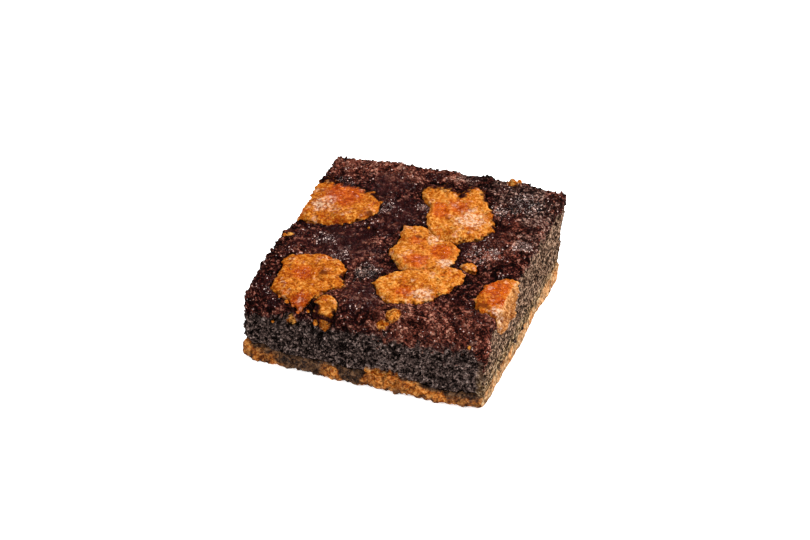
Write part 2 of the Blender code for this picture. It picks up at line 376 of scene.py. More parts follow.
SMOOTH_COLOUR = (0.022, 0.0042, 0.0046)
# Pale sugar, partly a painted sheen, and the lumps' painted glints.
PALE_SUGAR_AND_GLINT_COLOUR = (0.760, 0.560, 0.400)
# Painted glints: highlights put into the colour.
GLINT_PAINT_COLOUR = (0.800, 0.590, 0.530)
BLOOM_COLOUR = (0.360, 0.225, 0.195)
# Painted shade, put in gaps, pores and crevices.
PAINTED_SHADE_COLOUR = (0.0028, 0.0018, 0.0016)
# Painted shade in the lumps' crevices and pits, and the colour of their real dark specks.
LUMP_SHADE_AND_SPECK_COLOUR = (0.110, 0.020, 0.0035)


# Fields over the points of a surface

def smooth_field(points, length, seed, octaves=3):
    """Fractal noise of about -1 to 1 with features of the given length in millimetres."""
    places = points / length + seed
    return np.array([noise.fractal(Vector(p), 1.0, 2.1, octaves) for p in places])


def cell_field(points, size, seed):
    """Distances to the nearest two cell centres, in cells, for cells of the given size."""
    places = points / size + seed
    return np.array([noise.voronoi(Vector(p))[0][:2] for p in places])


def grains(points, size, seed):
    """Rounded grains: their height, from 1 at a grain's middle to about -1, and the crevices between them."""
    near = cell_field(points, size, seed)
    height = 1 - 2 * np.clip(near[:, 0] / 0.85, 0.0, 1.2) ** 2
    crevice = 1 - ramp(near[:, 1] - near[:, 0], 0.02, 0.30)
    return height, crevice


def ramp(values, low, high):
    """0 below low and 1 above high, smooth between."""
    share = np.clip((values - low) / (high - low), 0.0, 1.0)
    return share * share * (3 - 2 * share)


def hump(distance, reach):
    return np.exp(-((distance / reach) ** 2))


def patches(points, places, wobble):
    """1 inside the nearest of some round places in plan, 0 well outside, with wobbly edges."""
    shares = []
    for at, reach in places:
        distance = np.hypot(points[:, 0] - at[0], points[:, 1] - at[1]) / reach
        shares.append(ramp(-distance - 0.55 * wobble, -1.35, -0.65))
    return np.max(shares, 0)


# Meshes

def read_points(mesh):
    points = np.empty(len(mesh.vertices) * 3)
    mesh.vertices.foreach_get("co", points)
    return points.reshape(-1, 3) / MM


def read_normals(mesh):
    normals = np.empty(len(mesh.vertices) * 3)
    mesh.vertices.foreach_get("normal", normals)
    return normals.reshape(-1, 3)


def write_points(mesh, points):
    mesh.vertices.foreach_set("co", (points * MM).ravel())
    mesh.update()


def read_field(mesh, name):
    values = np.empty(len(mesh.vertices), np.float32)
    mesh.attributes[name].data.foreach_get("value", values)
    return values


def write_fields(mesh, **fields):
    """Keeps numbers from 0 to 1 at the mesh's points, for its material to read: one each, or one for all."""
    for name, values in fields.items():
        field = mesh.attributes.new(name, "FLOAT", "POINT")
        each = np.broadcast_to(values, len(mesh.vertices))
        field.data.foreach_set("value", np.clip(each, 0.0, 1.0).astype(np.float32))


def new_object(name, mesh):
    obj = bpy.data.objects.new(name, mesh)
    bpy.context.scene.collection.objects.link(obj)
    return obj


def apply_modifiers(obj):
    graph = bpy.context.evaluated_depsgraph_get()
    mesh = bpy.data.meshes.new_from_object(obj.evaluated_get(graph))
    obj.modifiers.clear()
    obj.data = mesh


def dense_copy(node, name, voxel, smoothing):
    """A finely divided copy of a CAD node, with its facets smoothed away."""
    shape = bmesh.new()
    shape.from_mesh(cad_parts[node].data)
    bmesh.ops.remove_doubles(shape, verts=shape.verts, dist=1e-6)
    mesh = bpy.data.meshes.new(name)
    shape.to_mesh(mesh)
    shape.free()
    obj = new_object(name, mesh)
    remesh = obj.modifiers.new("Fine", "REMESH")
    remesh.mode = "VOXEL"
    remesh.voxel_size = voxel * MM
    smooth = obj.modifiers.new("Smooth", "SMOOTH")
    smooth.iterations = smoothing
    smooth.factor = 0.5
    apply_modifiers(obj)
    obj.data.shade_smooth()
    return obj


def close_hidden(obj, hidden):
    """Takes out the points that other pieces hide, and closes each hole with one plain face."""
    shape = bmesh.new()
    shape.from_mesh(obj.data)
    shape.verts.ensure_lookup_table()
    unseen = [shape.verts[number] for number in np.flatnonzero(hidden)]
    bmesh.ops.delete(shape, geom=unseen, context="VERTS")
    rims = [edge for edge in shape.edges if edge.is_boundary]
    bmesh.ops.holes_fill(shape, edges=rims, sides=0)
    shape.to_mesh(obj.data)
    shape.free()


def top_level(points, normals):
    """The height of a slice's top over every point: a gently twisted plane through what faces up."""
    upward = points[(normals[:, 2] > TOP_FACING) & (points[:, 2] > TOP_ABOVE)]
    terms = np.stack([np.ones(len(upward)), upward[:, 0], upward[:, 1], upward[:, 0] * upward[:, 1]], 1)
    shares = np.linalg.lstsq(terms, upward[:, 2], rcond=None)[0]
    x, y = points[:, 0], points[:, 1]
    return shares[0] + shares[1] * x + shares[2] * y + shares[3] * x * y


def top_of_lump(points, normals):
    """The height of a lump's top over every point, as a plane through what faces up."""
    upward = points[normals[:, 2] > LUMP_TOP_FACING]
    terms = np.stack([np.ones(len(upward)), upward[:, 0], upward[:, 1]], 1)
    shares = np.linalg.lstsq(terms, upward[:, 2], rcond=None)[0]
    return shares[0] + points[:, :2] @ shares[1:]


# Materials

def link(tree, source, target):
    tree.links.new(source, target)


def add_node(tree, kind, **settings):
    node = tree.nodes.new(kind)
    for name, value in settings.items():
        setattr(node, name, value)
    return node


def field_nodes(tree, *names):
    """The numbers kept at the mesh's points under each name."""
    return [add_node(tree, "ShaderNodeAttribute", attribute_name=name).outputs["Fac"] for name in names]


def noise_node(tree, size_mm, detail=3.0, roughness=0.6):
    """A noise texture with features of about the given size."""
    where = add_node(tree, "ShaderNodeTexCoord")
    texture = add_node(tree, "ShaderNodeTexNoise")
    texture.inputs["Scale"].default_value = 1.0 / (size_mm * MM)
    texture.inputs["Detail"].default_value = detail
    texture.inputs["Roughness"].default_value = roughness
    link(tree, where.outputs["Object"], texture.inputs["Vector"])
    return texture.outputs["Fac"]


def stretch(tree, value, low, high, start=0.0, end=1.0):
    """Maps a value from low..high to start..end, held at both ends."""
    node = add_node(tree, "ShaderNodeMapRange", interpolation_type="SMOOTHSTEP")
    link(tree, value, node.inputs["Value"])
    for name, number in (("From Min", low), ("From Max", high), ("To Min", start), ("To Max", end)):
        node.inputs[name].default_value = number
    return node.outputs["Result"]


def grain_node(tree, size_mm):
    """Rounded grains: their height, and a tone of its own for each."""
    where = add_node(tree, "ShaderNodeTexCoord")
    cells = add_node(tree, "ShaderNodeTexVoronoi", feature="F1")
    cells.inputs["Scale"].default_value = 1.0 / (size_mm * MM)
    link(tree, where.outputs["Object"], cells.inputs["Vector"])
    height = stretch(tree, cells.outputs["Distance"], 0.15, 0.75, 1.0, 0.0)
    tone = add_node(tree, "ShaderNodeSeparateColor")
    link(tree, cells.outputs["Color"], tone.inputs["Color"])
    return height, tone.outputs["Red"]


def colour_ramp(tree, value, stops):
    """A colour from a value, by stops of a place and a colour."""
    node = add_node(tree, "ShaderNodeValToRGB")
    elements = node.color_ramp.elements
    while len(elements) < len(stops):
        elements.new(0.5)
    for element, (place, colour) in zip(elements, stops):
        element.position = place
        element.color = (*colour, 1.0)
    link(tree, value, node.inputs["Fac"])
    return node.outputs["Color"]


def mix(tree, share, first, second):
    """Mixes two colours, each a socket or a plain colour, by the share that a socket gives."""
    node = add_node(tree, "ShaderNodeMix", data_type="RGBA")
    link(tree, share, node.inputs["Factor"])
    for name, colour in (("A", first), ("B", second)):
        socket = [s for s in node.inputs if s.name == name and s.type == "RGBA"][0]
        if isinstance(colour, tuple):
            socket.default_value = (*colour, 1.0)
        else:
            link(tree, colour, socket)
    return [s for s in node.outputs if s.type == "RGBA"][0]


def combine(tree, operation, first, second):
    """A sum on two values, each a socket or a plain number."""
    node = add_node(tree, "ShaderNodeMath", operation=operation)
    for socket, value in zip(node.inputs, (first, second)):
        if isinstance(value, (int, float)):
            socket.default_value = value
        else:
            link(tree, value, socket)
    return node.outputs["Value"]


def times(tree, first, second):
    return combine(tree, "MULTIPLY", first, second)


def less(tree, first, second):
    return combine(tree, "SUBTRACT", first, second)


def most(tree, first, second):
    return combine(tree, "MAXIMUM", first, second)


def weighted(tree, *parts):
    """The sum of values, each times its weight."""
    total = None
    for value, weight in parts:
        share = times(tree, value, weight)
        total = share if total is None else combine(tree, "ADD", total, share)
    return total


def bump(tree, height, distance_mm, strength, before=None):
    node = add_node(tree, "ShaderNodeBump")
    node.inputs["Strength"].default_value = strength
    node.inputs["Distance"].default_value = distance_mm * MM
    link(tree, height, node.inputs["Height"])
    if before is not None:
        link(tree, before, node.inputs["Normal"])
    return node.outputs["Normal"]


def new_material(name):
    material = bpy.data.materials.new(name)
    material.use_nodes = True
    tree = material.node_tree
    return material, tree, tree.nodes["Principled BSDF"]


def set_surface(tree, shader, relief, coat_roughness):
    """A dull body, whose glints come from a thin clear coat, so dark crumb stays dark."""
    link(tree, relief, shader.inputs["Normal"])
    link(tree, relief, shader.inputs["Coat Normal"])
    shader.inputs["Specular IOR Level"].default_value = 0.0
    shader.inputs["Coat Roughness"].default_value = coat_roughness


def with_grit(tree, mottle, amount):
    """The mottling with the finest grains added about its middle, which keeps its mean."""
    tone = grain_node(tree, GRIT_SIZE)[1]
    return less(tree, weighted(tree, (mottle, 1.0), (tone, amount)), 0.5 * amount)


def pore_node(tree, size_mm, uneven):
    """Pores of uneven shape and size: each grain opens by as much as its tone says."""
    hollow, tone = grain_node(tree, size_mm)
    size = weighted(tree, (hollow, 1.0), (tone, 0.50), (uneven, 0.9))
    return stretch(tree, size, 1.24, 1.34, 0.0, 0.90)


def brownie_material():
    """Dark crumb with a maroon crust full of painted glints, and a paler porous knife cut, with painted shade
    in its gaps, pores and crevices.
    """
    material, tree, shader = new_material("brownie_baked")
    crust, knife, cavity, cookie = field_nodes(tree, "crust", "knife", "cavity", "cookie")
    shine, bloom, smooth = field_nodes(tree, "shine", "bloom", "smooth")
    ruddy, tan, warm = field_nodes(tree, "ruddy", "tan", "warm")
    middle = noise_node(tree, size_mm=1.6, detail=4.0)
    fine = noise_node(tree, size_mm=0.45, roughness=0.7)
    coarse_grain, coarse_tone = grain_node(tree, size_mm=1.1)
    fine_grain, fine_tone = grain_node(tree, size_mm=0.5)
    grain = weighted(tree, (coarse_grain, 0.55), (fine_grain, 0.45))
    mottle = weighted(tree, (middle, 0.30), (fine, 0.30), (coarse_tone, 0.15), (fine_tone, 0.25))
    gritty = with_grit(tree, mottle, 0.23)

    # The crust, redder, browner and smoother in places.
    broad = noise_node(tree, size_mm=4.5, detail=2.0)
    crust_mottle = less(tree, weighted(tree, (mottle, 1.30), (broad, 0.55)), 0.435)
    crust_colour = colour_ramp(tree, crust_mottle, CRUST_COLOURS)
    crust_colour = mix(tree, ruddy, crust_colour, colour_ramp(tree, crust_mottle, RUDDY_COLOURS))
    crust_colour = mix(tree, tan, crust_colour, colour_ramp(tree, crust_mottle, TAN_COLOURS))
    crust_colour = mix(tree, times(tree, smooth, 0.68), crust_colour, SMOOTH_COLOUR)

    # The broken crumb and the knife cut, warmer towards the base.
    blotch = weighted(tree, (gritty, 0.7), (noise_node(tree, size_mm=2.6), 0.3))
    cut_colour = colour_ramp(tree, blotch, KNIFE_COLOURS)
    cut_colour = mix(tree, warm, cut_colour, colour_ramp(tree, blotch, BASE_CUT_COLOURS))
    colour = mix(tree, knife, colour_ramp(tree, gritty, CRUMB_COLOURS), cut_colour)
    colour = mix(tree, crust, colour, crust_colour)

    # Painted shade in the gaps between the grains and in the pores of the knife cut.
    holes = most(tree, pore_node(tree, 1.15, middle), pore_node(tree, 0.7, fine))
    holes = times(tree, holes, knife)
    plain = most(tree, times(tree, knife, 0.85), times(tree, smooth, 0.85))
    plain = most(tree, plain, times(tree, ruddy, 0.45))
    shaded_gaps = times(tree, stretch(tree, grain, 0.10, 0.46, 0.90, 0.0), less(tree, 1.0, plain))
    colour = mix(tree, most(tree, shaded_gaps, holes), colour, PAINTED_SHADE_COLOUR)

    # Painted glints, highlights put into the colour, which crowd together where the crust shines or has a
    # bloom.
    spark = noise_node(tree, size_mm=0.36, detail=2.0, roughness=0.7)
    cluster = times(tree, most(tree, shine, bloom), middle)
    sharp_glint = stretch(tree, weighted(tree, (spark, 1.0), (cluster, 0.26)), 0.745, 0.785)
    round_glint = stretch(tree, weighted(tree, (fine_tone, 1.0), (cluster, 0.24)), 0.985, 1.01)
    round_glint = times(tree, round_glint, stretch(tree, fine_grain, 0.45, 0.7))
    painted_glint = times(tree, most(tree, sharp_glint, round_glint), crust)
    colour = mix(tree, painted_glint, colour, GLINT_PAINT_COLOUR)
    haze = stretch(tree, times(tree, bloom, fine), 0.40, 0.70, 0.0, 0.5)
    colour = mix(tree, haze, colour, BLOOM_COLOUR)

    colour = mix(tree, cookie, colour, colour_ramp(tree, mottle, LUMP_COLOURS))
    # Painted shade where a point lies in a crevice, hole or pore, or along a lump's edge.
    colour = mix(tree, stretch(tree, cavity, 0.25, 0.95, 0.0, 0.92), colour, PAINTED_SHADE_COLOUR)
    link(tree, colour, shader.inputs["Base Color"])
    link(tree, stretch(tree, fine, 0.35, 0.65, 0.30, 0.55), shader.inputs["Roughness"])

    wet = most(tree, shine, times(tree, smooth, 0.6))
    gloss = times(tree, times(tree, crust, wet), stretch(tree, fine, 0.45, 0.60))
    link(tree, times(tree, gloss, 0.5), shader.inputs["Coat Weight"])
    relief = bump(tree, less(tree, grain, holes), distance_mm=0.6, strength=1.0)
    relief = bump(tree, fine, distance_mm=0.18, strength=0.7, before=relief)
    set_surface(tree, shader, relief, coat_roughness=0.09)
    return material


def lump_material():
    """Golden cookie with deep orange glaze, pale sugar with a painted sheen, painted glints and painted shade
    in its crevices and pits, smeared with batter in places.
    """
    material, tree, shader = new_material("cookie_lump_baked")
    cavity, glaze, pale, speck = field_nodes(tree, "cavity", "glaze", "pale", "speck")
    knife, deep, smear = field_nodes(tree, "knife", "deep", "smear")
    broad = noise_node(tree, size_mm=3.0)
    middle = noise_node(tree, size_mm=0.85, detail=5.0)
    fine = noise_node(tree, size_mm=0.4, roughness=0.7)
    spark = noise_node(tree, size_mm=0.40, detail=2.0, roughness=0.7)
    fine_grain, fine_tone = grain_node(tree, size_mm=0.6)
    mottle = weighted(tree, (broad, 0.30), (middle, 0.35), (fine, 0.22), (fine_tone, 0.13), (deep, -0.035))
    mottle = with_grit(tree, mottle, 0.08)

    colour = colour_ramp(tree, mottle, LUMP_COLOURS)
    colour = mix(tree, glaze, colour, colour_ramp(tree, mottle, GLAZE_COLOURS))
    colour = mix(tree, knife, colour, colour_ramp(tree, mottle, CUT_LUMP_COLOURS))

    # Pale sugar with a painted sheen, and painted glints; then painted shade in crevices and pits, which a
    # glaze calms, and dark specks.
    pale_sheen = times(tree, pale, stretch(tree, middle, 0.44, 0.60, 0.05, 0.65))
    lit = times(tree, most(tree, pale, times(tree, glaze, 0.5)), middle)
    painted_glint = stretch(tree, weighted(tree, (spark, 1.0), (lit, 0.12)), 0.68, 0.76, 0.0, 0.95)
    colour = mix(tree, most(tree, pale_sheen, painted_glint), colour, PALE_SUGAR_AND_GLINT_COLOUR)
    calm = less(tree, 1.0, times(tree, glaze, 0.5))
    crevice = stretch(tree, cavity, 0.25, 1.0, 0.0, 0.85)
    pit = stretch(tree, spark, 0.34, 0.26, 0.0, 0.7)
    dark = times(tree, combine(tree, "ADD", crevice, pit), calm)
    colour = mix(tree, most(tree, dark, speck), colour, LUMP_SHADE_AND_SPECK_COLOUR)

    batter = colour_ramp(tree, mottle, CRUST_COLOURS)
    # Painted shade in the gaps between the batter's grains.
    batter = mix(tree, stretch(tree, fine_grain, 0.10, 0.50, 0.85, 0.0), batter, PAINTED_SHADE_COLOUR)
    colour = mix(tree, smear, colour, batter)
    link(tree, colour, shader.inputs["Base Color"])
    link(tree, stretch(tree, fine, 0.35, 0.65, 0.30, 0.50), shader.inputs["Roughness"])

    gloss = times(tree, most(tree, glaze, pale), middle)
    link(tree, stretch(tree, gloss, 0.10, 0.50, 0.01, 0.14), shader.inputs["Coat Weight"])
    relief = bump(tree, times(tree, middle, calm), distance_mm=0.5, strength=1.0)
    relief = bump(tree, times(tree, fine, calm), distance_mm=0.2, strength=1.0, before=relief)
    set_surface(tree, shader, relief, coat_roughness=0.14)
    return material


def base_material():
    """Cookie base, golden where it is baked through and dark where brownie batter ran into it."""
    material, tree, shader = new_material("cookie_base_baked")
    cavity, batter, golden, knife = field_nodes(tree, "cavity", "batter", "golden", "knife")
    middle = noise_node(tree, size_mm=1.5, detail=4.0)
    fine = noise_node(tree, size_mm=0.45, roughness=0.7)
    spark = noise_node(tree, size_mm=0.42, detail=2.0, roughness=0.7)
    fine_grain, fine_tone = grain_node(tree, size_mm=0.7)
    mottle = weighted(tree, (middle, 0.60), (fine, 0.27), (fine_tone, 0.13))
    mottle = with_grit(tree, mottle, 0.18)

    colour = colour_ramp(tree, mottle, BASE_COLOURS)
    colour = mix(tree, golden, colour, colour_ramp(tree, mottle, BASE_GOLDEN_COLOURS))
    pale = times(tree, knife, stretch(tree, noise_node(tree, size_mm=3.2), 0.38, 0.56, 0.92, 0.45))
    colour = mix(tree, pale, colour, colour_ramp(tree, mottle, BASE_CUT_COLOURS))
    colour = mix(tree, batter, colour, colour_ramp(tree, mottle, BASE_DARK_COLOURS))
    # Painted shade in the gaps between the clods and crumbs.
    colour = mix(tree, stretch(tree, cavity, 0.3, 1.0, 0.0, 0.85), colour, PAINTED_SHADE_COLOUR)
    link(tree, colour, shader.inputs["Base Color"])
    link(tree, stretch(tree, fine, 0.35, 0.65, 0.40, 0.65), shader.inputs["Roughness"])

    link(tree, stretch(tree, spark, 0.50, 0.62, 0.0, 0.35), shader.inputs["Coat Weight"])
    relief = bump(tree, weighted(tree, (middle, 0.7), (fine_grain, 0.3)), distance_mm=0.45, strength=1.0)
    relief = bump(tree, fine, distance_mm=0.2, strength=1.0, before=relief)
    set_surface(tree, shader, relief, coat_roughness=0.2)
    return material


# Pieces

def distance_to_lumps(points, apart_from=None):
    """How far each point is from the nearest other lump of cookie, in millimetres, up to a few."""
    corners, faces = [], []
    for name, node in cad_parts.items():
        if name.startswith(LUMP_NAMES) and name != apart_from:
            start = len(corners)
            corners += [vert.co[:] for vert in node.data.vertices]
            faces += [[start + number for number in face.vertices] for face in node.data.polygons]
    tree = BVHTree.FromPolygons(corners, faces)
    near = [tree.find_nearest(Vector(point * MM), LUMP_SEARCH * MM)[3] for point in points]
    return np.array([LUMP_SEARCH if distance is None else distance / MM for distance in near])


def side_distance(points, half):
    """How far inside the slice's nearest side each point is, in millimetres."""
    return np.minimum(half[0] - np.abs(points[:, 0]), half[1] - np.abs(points[:, 1]))


def near_side(inward):
    """1 at the slice's sides and 0 well inside them."""
    return ramp(-inward, -2.5, -1.2)


def faces_right(normals):
    return ramp(normals[:, 0], 0.45, 0.75)


def golden_height(x, y):
    """How high the cookie is golden along the front, where batter darkens it elsewhere."""
    front = np.interp(x, *zip(*GOLDEN_FRONT))
    return np.where(y < FRONT_SIDE, front, 0.8 * SEAM_HEIGHT)


def brownie_zones(points, normals, depth):
    """How far each point is crust and knife cut, and the noise that frays their borders."""
    x, y, z = points.T
    right = faces_right(normals) * ramp(x, 31.0, 33.5)
    front = ramp(-y, 30.0, 34.0)
    ragged = smooth_field(points, length=3.2, seed=4.2)
    torn = smooth_field(points, length=1.3, seed=14.2)

    # The crust reaches further down the front, most of all at its two corners.
    reach = CRUST_REACH + 2.0 * ragged + 1.6 * torn
    reach = reach - right * (0.2 + 1.0 * ragged - 2.5 * ramp(-y, 31.0, 35.0))
    further = 1.0 + 2.0 * ramp(x, -20.0, 15.0)
    further = further + 3.0 * ramp(x, 31.0, 35.5)
    further = further + 2.4 * ramp(-x, 18.0, 30.0)
    reach = reach + front * further
    crust = ramp(reach - depth, -0.8, 0.8)
    stray = ramp(torn - 0.12 * (depth - reach), 0.20, 0.45)
    crust = np.maximum(crust, 0.85 * stray * np.maximum(right, ramp(x - depth, -40.0, 10.0)))

    # The knife cut wraps a little way round the front's right corner, further at the foot.
    edge = 35.8 - 2.6 * ramp(20.0 - z, 0.0, 8.0)
    corner = 0.8 * front * ramp(x + 0.9 * torn - edge, -0.6, 0.6)
    corner = corner * ramp(21.0 + 2.0 * ragged - z, -1.0, 2.0)
    knife = np.maximum(right, corner) * (1 - crust)
    return {"crust": crust, "knife": knife, "right": right, "ragged": ragged, "torn": torn}


def brownie_relief(points, depth, crust, knife):
    """How far the surface stands out, in millimetres, and how much painted shade each point gets for lying
    deep in a crevice, hole or pore, or along a lump's edge.
    """
    clods, clod_gaps = grains(points, size=2.5, seed=1.3)
    crumbs, crumb_gaps = grains(points, size=1.15, seed=7.7)
    broad = smooth_field(points, length=6.5, seed=2.9)
    middle = smooth_field(points, length=1.9, seed=9.1)
    large_pore = cell_field(points * np.array([1.0, 0.8, 1.0]), size=1.9, seed=3.3)[:, 0]
    pores = ramp(-large_pore, -0.36, -0.22) * ramp(smooth_field(points, length=2.2, seed=6.0), -0.35, 0.1)
    holes = ramp(smooth_field(points, length=2.2, seed=31.0), 0.18, 0.55) * ramp(depth, 2.5, 4.5)
    moat = hump(distance_to_lumps(points), MOAT_REACH) * ramp(-depth, -2.5, -1.2)

    crumb_out = 0.46 * clods + 0.38 * crumbs + 0.40 * middle - 1.3 * holes * (0.4 + 0.6 * clod_gaps)
    crust_out = 0.55 * broad + 0.26 * crumbs + 0.42 * middle + 0.20 * clods - MOAT_DEPTH * moat
    knife_out = 0.12 * middle + 0.10 * crumbs - 0.8 * pores
    out = crust * crust_out + (1 - crust) * (knife * knife_out + (1 - knife) * crumb_out)
    # Painted shade: in the crevices, holes and pores, and along each lump's edge.
    crevices = 0.45 * clod_gaps + 0.40 * crumb_gaps + 0.6 * holes
    crust_cavity = 0.40 * crumb_gaps + 0.75 * moat
    cavity = crust * crust_cavity + (1 - crust) * (knife * pores + (1 - knife) * crevices)
    return out, cavity


def make_brownie():
    """The brownie layer: crumbly broken sides, a smoother knife cut on the right and a wrinkled crust."""
    obj = dense_copy("brownie", "brownie_crumb", BROWNIE_VOXEL, SMOOTHING["brownie"])
    points, normals = read_points(obj.data), read_normals(obj.data)
    inner = np.all(np.abs(points[:, :2]) < CORE_HALF, axis=1)
    sunk = top_level(points, normals) - points[:, 2]
    close_hidden(obj, inner & (sunk > CORE_DEPTH))

    plain, normals = read_points(obj.data), read_normals(obj.data)
    depth = top_level(plain, normals) - plain[:, 2]
    zones = brownie_zones(plain, normals, depth)
    out, cavity = brownie_relief(plain, depth, zones["crust"], zones["knife"])
    inward = side_distance(plain, BROWNIE_HALF)
    shown = np.maximum(near_side(inward), ramp(-depth, -1.8, -0.6)) * ramp(normals[:, 2], -0.6, -0.2)
    seam = ramp(inward, 0.0, 2.4) * ramp(-normals[:, 2], 0.3, 0.9)
    foot = ramp(-plain[:, 2], -9.0, -6.0) * near_side(inward) * (1 - zones["right"])
    points = plain + normals * (out * shown)[:, None]
    points += normals * (FOOT_SPREAD * foot)[:, None] * SIDEWAYS
    points[:, 2] -= UNDERSIDE_DROP * ramp(-normals[:, 2], 0.1, 0.7) * (1 - seam)
    write_points(obj.data, points)
    colour_brownie(obj.data, plain, points, cavity, zones)
    return obj


def colour_brownie(mesh, plain, points, cavity, zones):
    """Where the brownie is glossy with painted glints, smooth, red or tan, where cookie sticks to it, and how
    much painted shade it gets.

    It takes both the plain points and the final ones.
    """
    x, y, z = plain.T
    crust, torn = zones["crust"], zones["torn"]
    cookie = np.max([ramp(-np.linalg.norm(points - centre, axis=1) - 0.5 * torn, -reach, -0.75 * reach)
                     for centre, reach in STUCK_CRUMBS], 0)
    wobble = smooth_field(points, length=2.6, seed=51.0)
    streaks = smooth_field(points, length=4.0, seed=61.0)
    calm = patches(points, SMOOTH_CRUST, wobble) * crust
    tongue = ramp(golden_height(x, y) - z + 0.8 * torn + 0.5 * wobble, -0.3, 0.5)
    write_fields(
        mesh,
        crust=crust,
        knife=zones["knife"],
        cavity=cavity * (1 - 0.5 * tongue) * (1 - 0.35 * ramp(-z, -15.0, -9.0)),
        cookie=np.maximum(cookie, 0.85 * tongue),
        bloom=patches(points, BLOOM, wobble) * crust,
        shine=0.04 + 0.9 * patches(points, GLINTS, wobble) + 0.5 * ramp(streaks, 0.15, 0.55),
        ruddy=0.9 * patches(points, RUDDY, wobble) + 0.6 * ramp(wobble, 0.1, 0.6),
        smooth=np.maximum(calm, 0.8 * crust * ramp(streaks, 0.05, 0.45)),
        tan=0.8 * patches(points, TAN_GRAINS, wobble),
        warm=0.75 * ramp(WARM_HEIGHT + 2.0 * zones["ragged"] + 1.2 * torn - z, -1.0, 5.0),
    )


def make_base():
    """The cookie base: a crumbly edge, marbled with brownie batter along the front."""
    obj = dense_copy("cookie_base", "cookie_base_crumb", BASE_VOXEL, SMOOTHING["base"])
    points, normals = read_points(obj.data), read_normals(obj.data)
    x, y, z = points.T
    inward = side_distance(points, BASE_HALF)
    clods, clod_gaps = grains(points, size=2.3, seed=5.1)
    crumbs, crumb_gaps = grains(points, size=1.2, seed=8.8)
    middle = smooth_field(points, length=2.0, seed=3.7)
    torn = smooth_field(points, length=1.3, seed=14.2)
    knife = faces_right(normals)
    out = 0.30 * clods + 0.22 * crumbs + 0.45 * middle
    out *= 1 - 0.6 * knife
    rise = 5.4 + 1.3 * ramp(y, -34.0, 34.0)
    shoulder = ramp(z, rise - 1.8, rise) * 0.3
    lowest = points[:, 2].min()
    points = points + normals * ((out - shoulder) * ramp(-inward, -3.5, -2.0))[:, None]
    lift = ramp(smooth_field(points * np.array([1.0, 1.0, 0.2]), length=2.6, seed=71.0), 0.05, 0.6)
    points[:, 2] = np.maximum(points[:, 2], lowest)
    points[:, 2] += lift * ramp(-inward, -2.2, -1.0) * ramp(-z, -1.6, -0.3)
    write_points(obj.data, points)

    marbling = smooth_field(points * np.array([0.6, 0.6, 1.3]), length=3.6, seed=12.5)
    front = ramp(-y, 30.0, 33.0)
    height = golden_height(x, y)
    batter = ramp(z - height + 2.2 * marbling + 0.8 * torn, -1.0, 1.6) * (0.55 + 0.45 * front)
    scorched = 0.7 * front * ramp(1.7 + 0.9 * torn - z, -0.2, 0.8) * ramp(middle, -0.35, 0.25)
    stained = ramp(z - rise + 0.7 + 0.9 * torn + 0.6 * middle, -0.3, 0.7)
    stained = stained * (1 - ramp(height, 5.0, 6.2) * front)
    write_fields(
        obj.data,
        cavity=0.5 * clod_gaps + 0.35 * crumb_gaps,
        batter=np.maximum.reduce([batter * (1 - 0.6 * knife), stained, scorched]),
        golden=ramp(smooth_field(points, length=6.0, seed=15.5), -0.25, 0.35),
        knife=knife,
    )
    return obj


def make_lump(node):
    """A lump of cookie dough with a pitted, unevenly browned top and a ragged rim."""
    obj = dense_copy(node, node + "_crumb", LUMP_VOXEL, SMOOTHING["lump"])
    points, normals = read_points(obj.data), read_normals(obj.data)
    depth = top_of_lump(points, normals) - points[:, 2]
    shown = np.maximum(ramp(-depth, -3.2, -1.5), near_side(side_distance(points, BROWNIE_HALF)))
    crumbs, crumb_gaps = grains(points, size=1.5, seed=2.2)
    broad = smooth_field(points, length=4.0, seed=1.1)
    middle = smooth_field(points, length=1.4, seed=5.9)
    ragged = smooth_field(points, length=2.0, seed=44.0)
    jagged = smooth_field(points, length=0.9, seed=48.0)
    apart = ramp(distance_to_lumps(points, node), 0.3, 1.8)
    rim = shown * ramp(1 - np.abs(normals[:, 2]), 0.3, 0.8)
    out = 0.32 * broad + 0.12 * crumbs + 0.26 * middle
    sideways = normals * SIDEWAYS
    points = points + normals * (out * shown * (1 - rim))[:, None]
    points += sideways * (rim * (0.15 + apart * (0.10 + 0.75 * ragged + 0.70 * jagged)))[:, None]
    points[:, 2] += LUMP_SWELL * ramp(-depth, -1.6, -0.4)
    write_points(obj.data, points)

    # Painted shade in the crevice where a lump meets another, left out where two baked into one.
    crevice = (1.2 - 2.4 * apart) * (1 - patches(points, JOINED, jagged))
    colour_lump(obj.data, points, np.maximum(crumb_gaps, crevice), depth)
    write_fields(
        obj.data,
        knife=faces_right(normals) * ramp(points[:, 0], 32.5, 34.0),
        smear=smear_lump(node, points, ragged, jagged),
        deep=float(node in DEEPER),
    )
    return obj


def smear_lump(node, points, ragged, jagged):
    """Where batter covers a lump: at some places on its rim and, on a lump listed for it, below a height."""
    smear = patches(points, COVERED, jagged)
    if node in SMEARED:
        height, spot, reach = SMEARED[node]
        low = ramp(height - points[:, 2] + 0.9 * ragged + 0.5 * jagged, -0.3, 0.5)
        low *= ramp(np.linalg.norm(points - spot, axis=1) + 0.6 * jagged, 0.8 * reach, 1.1 * reach)
        smear = np.maximum(smear, low)
    return smear


